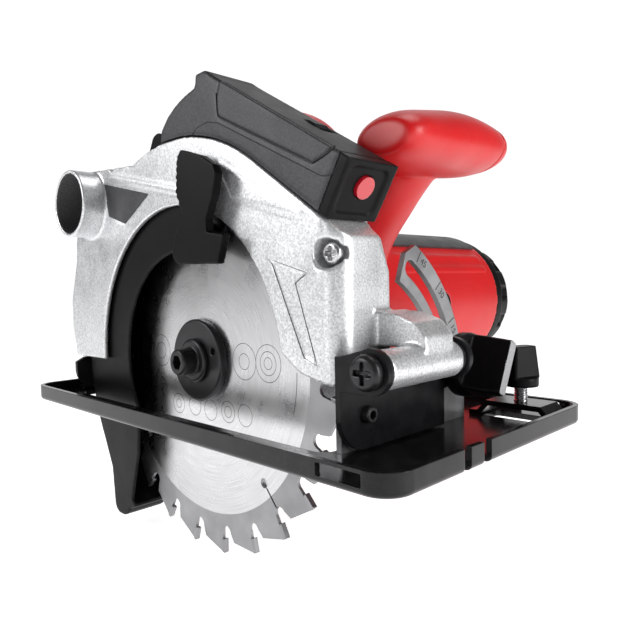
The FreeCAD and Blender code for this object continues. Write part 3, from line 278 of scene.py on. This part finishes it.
SLIT_SIDE = 63.8             # the printed slit lies ahead of this x
SLIT_TOP = 27


def blade_steel():
    """Steel brushed in circles, a matt grey rim, and thin printed outlines on the near face."""
    k = Nodes("blade_steel")
    shader = k.shader
    shader.inputs["Metallic"].default_value = 1.0
    shader.inputs["Anisotropic"].default_value = 0.6
    turn = k.add("ShaderNodeTangent", direction_type="RADIAL", axis="Y")
    k.join(turn.outputs["Tangent"], shader.inputs["Tangent"])
    split = k.add("ShaderNodeSeparateXYZ")
    k.join(k.place, split.inputs["Vector"])
    along, high = split.outputs["X"], split.outputs["Z"]

    def distance(cx, cz):
        """How far a point of the blade is from a place in millimetres."""
        dx = k.maths("SUBTRACT", along, cx * MM)
        dz = k.maths("SUBTRACT", high, cz * MM)
        square = k.maths("ADD", k.maths("MULTIPLY", dx, dx), k.maths("MULTIPLY", dz, dz))
        return k.maths("POWER", square, 0.5)

    def near(value, target, half):
        away = k.maths("ABSOLUTE", k.maths("SUBTRACT", value, target * MM), 0.0)
        return k.maths("LESS_THAN", away, half * MM)

    reach = distance(*ARBOR)
    angle = k.maths("ARCTAN2", k.maths("SUBTRACT", high, ARBOR[1] * MM), along)
    lines = k.add("ShaderNodeCombineXYZ")
    k.join(k.maths("MULTIPLY", reach, BRUSH_LINES), lines.inputs[0])
    k.join(k.maths("MULTIPLY", angle, BRUSH_TURNS), lines.inputs[1])
    brush = k.add("ShaderNodeTexNoise")
    brush.inputs["Scale"].default_value = 1.0
    brush.inputs["Detail"].default_value = 2.0
    k.join(lines.outputs[0], brush.inputs["Vector"])
    rim = k.maths("GREATER_THAN", reach, BLADE_RIM * MM)
    streaks = k.spread(brush.outputs["Fac"], NOISE_LOW, NOISE_HIGH, 0, 1)
    disc = k.mix(streaks, (0.55, 0.55, 0.56), (0.68, 0.68, 0.69))
    drift = k.spread(k.noise(40, 4), NOISE_LOW, NOISE_HIGH, 0, 1)
    matt = k.mix(drift, (0.30, 0.30, 0.31), (0.42, 0.42, 0.43))
    tint = k.mix(rim, disc, matt)
    marks = [near(distance(x, z), radius, RING_HALF) for x, z, radius in PRINTED_RINGS]
    behind = k.maths("LESS_THAN", along, ARROW_SIDE * MM)
    arc = k.maths("MULTIPLY", near(reach, TURN_ARROW, ARROW_HALF), behind)
    head = k.maths("LESS_THAN", distance(*ARROW_HEAD[:2]), ARROW_HEAD[2] * MM)
    ahead = k.maths("GREATER_THAN", along, SLIT_SIDE * MM)
    slit = k.maths("MULTIPLY", near(reach, SLIT_RADIUS, SLIT_HALF), ahead)
    slit = k.maths("MULTIPLY", slit, k.maths("LESS_THAN", high, SLIT_TOP * MM))
    ink = arc
    for mark in marks + [head, slit]:
        ink = k.maths("MAXIMUM", ink, mark)
    tint = k.mix(k.maths("MULTIPLY", ink, 0.85), tint, (0.04, 0.04, 0.045))
    k.join(tint, shader.inputs["Base Color"])
    smooth = k.spread(k.noise(90, 4), NOISE_LOW, NOISE_HIGH, 0.24, 0.34)
    rough = k.maths("ADD", smooth, k.maths("MULTIPLY", rim, 0.17))
    k.join(rough, shader.inputs["Roughness"])
    height = k.add("ShaderNodeBump")
    height.inputs["Strength"].default_value = 0.05
    height.inputs["Distance"].default_value = 0.00003
    k.join(k.noise(600, 2), height.inputs["Height"])
    k.join(height.outputs["Normal"], shader.inputs["Normal"])
    return k.material


MATERIALS = {
    "black_gloss_steel": surface("black_gloss_steel", (0.004, 0.004, 0.0045), 0.2, 0.0, 0.2, 500, 0.12, 0.06,
                                 (0.16, 0.16, 0.17), coat=0.12, rough_spread=0.04, spec=0.2),
    "black_sheet_steel": surface("black_sheet_steel", (0.006, 0.006, 0.007), 0.3, 0.0, 0.2, 700, 0.2, 0.05,
                                 (0.14, 0.14, 0.15), rough_spread=0.03, spec=0.15),
    "black_plastic": surface("black_plastic", (0.003, 0.003, 0.0033), 0.42, 0, 0.2, 1400, 0.3, 0.1,
                             (0.1, 0.1, 0.105), rough_spread=0.04, spec=0.12),
    "charcoal_plastic": surface("charcoal_plastic", (0.03, 0.031, 0.034), 0.45, 0, 0.15, 1300, 0.5, 0.2,
                                (0.12, 0.12, 0.125), speck=0.4, rough_spread=0.05, spec=0.4),
    "red_plastic": surface("red_plastic", (0.6, 0.005, 0.007), 0.4, 0, 0.06, 1500, 0.25, 0.08,
                           rough_spread=0.05),
    "silver_casting": surface("silver_casting", (0.72, 0.73, 0.74), 0.36, 0.7, 0.04, 1300, 0.5, 0.12,
                              (0.85, 0.86, 0.87), speck=0.24),
    "bright_steel": surface("bright_steel", (0.62, 0.62, 0.63), 0.27, 1.0, 0.05, 900, 0.2, speck=0.04),
    "dark_steel": surface("dark_steel", (0.035, 0.035, 0.037), 0.36, 0.7, 0.2, 900, 0.2, 0.3),
    "zinc_steel": surface("zinc_steel", (0.55, 0.55, 0.56), 0.28, 1.0, 0.08, 900, 0.2),
    "carbide": surface("carbide", (0.3, 0.3, 0.31), 0.35, 1.0, 0.1, 1200, 0.3),
    "copper": surface("copper", (0.62, 0.32, 0.16), 0.3, 1.0, 0.1),
    "core_steel": surface("core_steel", (0.2, 0.2, 0.21), 0.45, 1.0, 0.1),
    "graphite": surface("graphite", (0.03, 0.03, 0.03), 0.6),
    "red_lens": surface("red_lens", (0.5, 0.004, 0.014), 0.08, 0, 0.05, 700, 0.4, coat=1.0),
    "scale_steel": surface("scale_steel", (0.36, 0.36, 0.37), 0.38, 0.9, 0.08, 900, 0.15, 0.2),
    "dark_line": surface("dark_line", (0.004, 0.004, 0.004), 0.5, bevel=0),
    # lighter grey for the painted highlight on the bevel knob's wing end
    "knob_end_highlight": surface("knob_end_highlight", (0.33, 0.33, 0.34), 0.45, 0.2, 0.15, 1400, 0.4, speck=0.2),
    # dark grey for the painted shade inside the dust port
    "painted_port_shade": surface("painted_port_shade", (0.07, 0.07, 0.072), 0.8, 0, 0.2, 1200, 0.4, speck=0.3),
    "blade_steel": blade_steel(),
}
LENS_SHADER = MATERIALS["red_lens"].node_tree.nodes["Principled BSDF"]
# The lens gets a faint red emission: a painted glow standing in for its highlights.
LENS_SHADER.inputs["Emission Color"].default_value = (1.0, 0.03, 0.07, 1)
LENS_SHADER.inputs["Emission Strength"].default_value = 0.05
OTHER_LOOK = {"bevel_quadrant": "scale_steel", "saw_blade": "blade_steel", "laser_bezel": "black_plastic",
              "guard_lever": "black_plastic", "lower_guard": "black_plastic"}
for node, item in NODES.items():
    item.data.materials.clear()
    item.data.materials.append(MATERIALS[OTHER_LOOK.get(node, SUBPARTS[node])])


# ------------------------------------------------------------------ mesh tools
def link(item):
    """Puts an item in the scene and hands it back."""
    bpy.context.scene.collection.objects.link(item)
    return item


def solid(name, rings):
    """A closed mesh from rings of points in millimetres, joined in order and capped at both ends."""
    count = len(rings[0])
    points = [tuple(c * MM for c in p) for ring in rings for p in ring]
    faces = [list(range(count))[::-1], [len(points) - count + i for i in range(count)]]
    for k in range(len(rings) - 1):
        for i in range(count):
            j = (i + 1) % count
            faces.append([k * count + i, k * count + j, (k + 1) * count + j, (k + 1) * count + i])
    mesh = bpy.data.meshes.new(name)
    mesh.from_pydata(points, [], faces)
    work = bmesh.new()
    work.from_mesh(mesh)
    bmesh.ops.recalc_face_normals(work, faces=work.faces)
    work.to_mesh(mesh)
    work.free()
    return link(bpy.data.objects.new(name, mesh))


def prism(loop, low, high):
    """A straight block with its outline in x and z, between two depths along Y."""
    return solid("tool", [[(x, depth, z) for x, z in loop] for depth in (low, high)])


def polar(centre, radius, degrees):
    """A point on a circle."""
    turn = math.radians(degrees)
    return (centre[0] + radius * math.cos(turn), centre[1] + radius * math.sin(turn))


def sector(centre, inner, outer, first, last, low, high, steps=16):
    """A block of a round wall about an axis along Y."""
    turns = [first + (last - first) * i / steps for i in range(steps + 1)]
    loop = [polar(centre, outer, a) for a in turns] + [polar(centre, inner, a) for a in reversed(turns)]
    return prism(loop, low, high)


SLOPE = math.radians(31)
FORWARD = Vector((math.cos(SLOPE), 0, -math.sin(SLOPE)))
UPWARD = Vector((math.sin(SLOPE), 0, math.cos(SLOPE)))
LENS_AT = Vector((104.6, -1, 97))


def on_laser(side, up, along):
    """A point by the laser's front face: side along Y, up the face, and out of it."""
    return tuple(LENS_AT + Vector((0, side, 0)) + UPWARD * up + FORWARD * along)


def rounded(left, low, right, top, corner, steps=5):
    """A rectangle's outline with round corners."""
    loop = []
    for cx, cy, first in ((right - corner, low + corner, -90), (right - corner, top - corner, 0),
                          (left + corner, top - corner, 90), (left + corner, low + corner, 180)):
        loop += [polar((cx, cy), corner, first + 90 * i / steps) for i in range(steps + 1)]
    return loop


def evaluated(item):
    """A mesh of the item with its modifiers applied."""
    graph = bpy.context.evaluated_depsgraph_get()
    return bpy.data.meshes.new_from_object(item.evaluated_get(graph))


WELD = 1e-6                  # corners of the CAD mesh nearer than this are joined


def dressed(item, node):
    """Gives a finished piece its material, picked by its record slot or its other look, and its body, and
    hides the node it stands for.
    """
    item.data.materials.clear()
    item.data.materials.append(MATERIALS[OTHER_LOOK.get(node, SUBPARTS[node])])
    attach(item, BODY_OF[node])
    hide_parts(node)
    return item


def softened(node, voxel, passes, cuts=(), adds=()):
    """The CAD node with details cut and added, and every edge rounded as a mould or die leaves it."""
    work = bmesh.new()
    work.from_mesh(NODES[node].data)
    bmesh.ops.remove_doubles(work, verts=work.verts, dist=WELD)
    mesh = bpy.data.meshes.new(node + "_raw")
    work.to_mesh(mesh)
    work.free()
    raw = link(bpy.data.objects.new(node + "_raw", mesh))
    for tool in cuts:
        change = raw.modifiers.new("cut", "BOOLEAN")
        change.object = tool
        change.operation = "DIFFERENCE"
        change.solver = "EXACT"
    if cuts:
        raw.data = evaluated(raw)
        raw.modifiers.clear()
    if adds:
        work = bmesh.new()
        work.from_mesh(raw.data)
        for tool in adds:
            work.from_mesh(tool.data)
        work.to_mesh(raw.data)
        work.free()
    grid = raw.modifiers.new("skin", "REMESH")
    grid.mode = "VOXEL"
    grid.voxel_size = voxel * MM
    grid.use_smooth_shade = True
    ease = raw.modifiers.new("ease", "SMOOTH")
    ease.factor = 0.5
    ease.iterations = passes
    piece = link(bpy.data.objects.new(node + "_form", evaluated(raw)))
    for tool in [raw, *cuts, *adds]:
        bpy.data.objects.remove(tool)
    return dressed(piece, node)


def seam(name, points, thick, body, closed=False):
    """A fine dark line set into a surface, along points in millimetres."""
    curve = bpy.data.curves.new(name, "CURVE")
    curve.dimensions = "3D"
    curve.bevel_depth = thick / 2 * MM
    curve.bevel_resolution = 1
    line = curve.splines.new("POLY")
    line.points.add(len(points) - 1)
    for spot, place in zip(line.points, points):
        spot.co = (*[c * MM for c in place], 1)
    line.use_cyclic_u = closed
    raw = link(bpy.data.objects.new(name + "_raw", curve))
    item = link(bpy.data.objects.new(name, evaluated(raw)))
    bpy.data.objects.remove(raw)
    item.data.materials.clear()
    item.data.materials.append(MATERIALS["dark_line"])
    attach(item, body)


def painted(item, look, test):
    """A second material on the faces that pass a test of their centre and normal."""
    item.data.materials.append(MATERIALS[look])
    for face in item.data.polygons:
        if test(face.center / MM, face.normal):
            face.material_index = 1


# ------------------------------------------------------------------ casting
PORT = (-82, 109)            # x, z of the dust port's axis
PORT_BORE = 16.6
CREASE_LOW, CREASE_HIGH = FACE - 0.8, FACE + 1


def in_dust_port(centre, normal):
    """True for the wall inside the port, which is painted dark grey as painted shade."""
    return math.dist((centre.x, centre.z), PORT) < PORT_BORE and abs(normal.y) < 0.9


CREASES = [[(36.1, 114.6), (86.1, 89.8), (85.5, 88), (45.6, 99)],
           [(-60.2, 122.8), (5.2, 108), (4.6, 105.6), (-59, 120)]]
raised = [prism(crease, CREASE_LOW, CREASE_HIGH) for crease in CREASES]
# The dust port's inner wall gets a dark grey material: painted shade in the bore.
painted(softened("upper_guard", 0.75, 6, adds=raised), "painted_port_shade", in_dust_port)
softened("lower_guard", 0.7, 2)

# ------------------------------------------------------------------ red mouldings
RIB_WIDE = 5                 # degrees
NOTCH_WIDE = 13
ribs_on_motor = [sector(MOTOR, 39.5, 41.7, first, first + RIB_WIDE, 96, 182) for first in (26, 38)]
softened("motor_housing", 0.9, 3, adds=ribs_on_motor)
notches = [sector(MOTOR, 34.5, 45, first, first + NOTCH_WIDE, 201, 214, 4) for first in range(0, 360, 30)]
softened("motor_end_cap", 0.8, 3, cuts=notches)
softened("front_grip", 1.0, 14)
softened("front_grip_cap", 0.8, 6)
softened("handle_left_shell", 1.0, 4)
softened("handle_right_shell", 1.0, 4)
softened("trigger", 0.6, 5)

# ------------------------------------------------------------------ laser unit
WINDOW = rounded(-11.6, -10.4, 9.6, 7.4, 3.2)
WINDOW_DEPTH = (-0.9, 3)
window = solid("tool", [[on_laser(side, up, along) for side, up in WINDOW] for along in WINDOW_DEPTH])
LIT_SIDE_TURN = -0.6            # faces turned less to -Y than this get painted shade in black; the lit side keeps its charcoal
softened("laser_bezel", 0.5, 9, cuts=[window])
# The laser housing is charcoal all over; its top and front faces are painted black as painted shade.
painted(softened("laser_housing", 0.7, 12), "black_plastic",
        lambda centre, normal: normal.y > LIT_SIDE_TURN)
softened("laser_battery_cover", 0.45, 3)

# ------------------------------------------------------------------ lever and knobs
WAIST = (21.6, 93.4)         # x, z of the lever's left edge where it is narrowest
BULGE = (16.8, 103.3)        # and where it stands out furthest
WAIST_LEAN, BULGE_LEAN = -0.485, 0.1


def lever_rib(z):
    """A groove across the lever's left edge."""
    if z < BULGE[1]:
        edge = WAIST[0] + WAIST_LEAN * (z - WAIST[1])
    else:
        edge = BULGE[0] + BULGE_LEAN * (z - BULGE[1])
    return prism([(8, z), (edge + 2.2, z + 0.5), (edge + 2.2, z + 1.2), (8, z + 1.9)], -26, -18)


softened("guard_lever", 0.5, 3, cuts=[lever_rib(z) for z in range(96, 119, 3)])
WING_END = 127.6             # the wing's end lies past this x; its faces turned forward get a painted highlight in lighter grey
# The forward faces of the knob's wing end get a painted highlight in lighter grey.
painted(softened("bevel_knob", 0.5, 3), "knob_end_highlight",
        lambda centre, normal: centre.x > WING_END and normal.x > 0.6)
softened("fence_clamp_knob", 0.5, 3)
softened("depth_lever", 0.6, 3)

# ------------------------------------------------------------------ screws, flange and bolt
softened("depth_pivot_screw", 0.35, 2)
softened("guard_screws", 0.25, 2)
softened("arbor_bolt", 0.35, 2)
softened("outer_flange", 0.4, 2)
softened("inner_flange", 0.5, 2)


AROUND = 28                  # points round a thread
ROWS = 6                     # rings per turn of the thread
THREAD_DEPTH = 0.55          # share of the pitch


def threaded(node, axis_at, low, high, radius, pitch):
    """A machine screw's shank with a real helical thread."""
    rows = int((high - low) / pitch * ROWS)
    rings = []
    for row in range(rows + 1):
        z = low + (high - low) * row / rows
        ring = []
        for i in range(AROUND):
            share = (z / pitch - i / AROUND) % 1
            depth = THREAD_DEPTH * pitch * abs(2 * share - 1)
            ring.append((*polar(axis_at, radius - depth, 360 * i / AROUND), z))
        rings.append(ring)
    dressed(solid(node + "_form", rings), node)


threaded("fence_clamp_screw", (122, 82), 7.4, 25.8, 3.0, 1.0)

# ------------------------------------------------------------------ seams and scale
SEAM_PROUD = 0.02             # how far a seam's centre line stands out of the face
ARROW_SINK = 0.1             # how far the arrow's outline lies into it
PANEL = [(36, 143.4), (36.4, 135.7), (37, 133.8), (39, 132.6), (91.7, 106.4), (99.2, 108.6), (103, 110.3)]
seam("cover_seam", [(x, FACE - SEAM_PROUD, z) for x, z in PANEL], 0.7, "saw_body")
LOWER_LINE = [(17.6, 129.6), (21, 131.8), (29.1, 133), (36.8, 131), (96.1, 101.1), (100.9, 100.8), (104, 103)]
seam("housing_seam", [(x, FACE - SEAM_PROUD, z) for x, z in LOWER_LINE], 0.45, "saw_body")
ARROW = [(66.5, 73.2), (88, 67.2), (81.5, 63.6), (92.1, 33.5), (85.4, 35.9), (68.8, 71.1)]
seam("arrow_line", [(x, FACE + ARROW_SINK, z) for x, z in ARROW], 0.35, "saw_body", closed=True)

BEVEL = (-4, 16)             # y, z of the bevel hinge's axis
BOLT_ANGLE = 10.8            # where the clamp bolt stands at 0 degrees
QUADRANT_FACE = 102.0
TICK = (66.4, 71.6)          # radii of a tick's ends
NUMBER_AT = 68.9
NUMBER_SIDE = 3.4            # degrees from a tick to its number
NUMBER_SIZE = 4.2
NUMBER_THICK = 0.04


def scale_mark(degrees):
    """A tick and its number on the bevel scale."""
    turn = BOLT_ANGLE + degrees
    ends = [polar(BEVEL, radius, turn) for radius in TICK]
    seam(f"bevel_tick_{degrees}", [(QUADRANT_FACE, y, z) for y, z in ends], 0.35, "base")
    words = bpy.data.curves.new(f"bevel_number_{degrees}", "FONT")
    words.body = str(degrees)
    words.size = NUMBER_SIZE * MM
    words.extrude = NUMBER_THICK * MM
    words.align_x = "CENTER"
    words.align_y = "CENTER"
    raw = link(bpy.data.objects.new("number_raw", words))
    y, z = polar(BEVEL, NUMBER_AT, turn - NUMBER_SIDE)
    quarter = math.radians(90)
    place = (Matrix.Translation((QUADRANT_FACE * MM, y * MM, z * MM))
             @ Matrix.Rotation(math.radians(turn - 90), 4, "X")
             @ Matrix.Rotation(quarter, 4, "Z") @ Matrix.Rotation(quarter, 4, "X"))
    mesh = evaluated(raw)
    mesh.transform(place)
    item = link(bpy.data.objects.new(f"bevel_number_{degrees}", mesh))
    bpy.data.objects.remove(raw)
    item.data.materials.clear()
    item.data.materials.append(MATERIALS["dark_line"])
    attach(item, "base")


for degrees in (15, 30, 45):
    scale_mark(degrees)

camera()
studio()
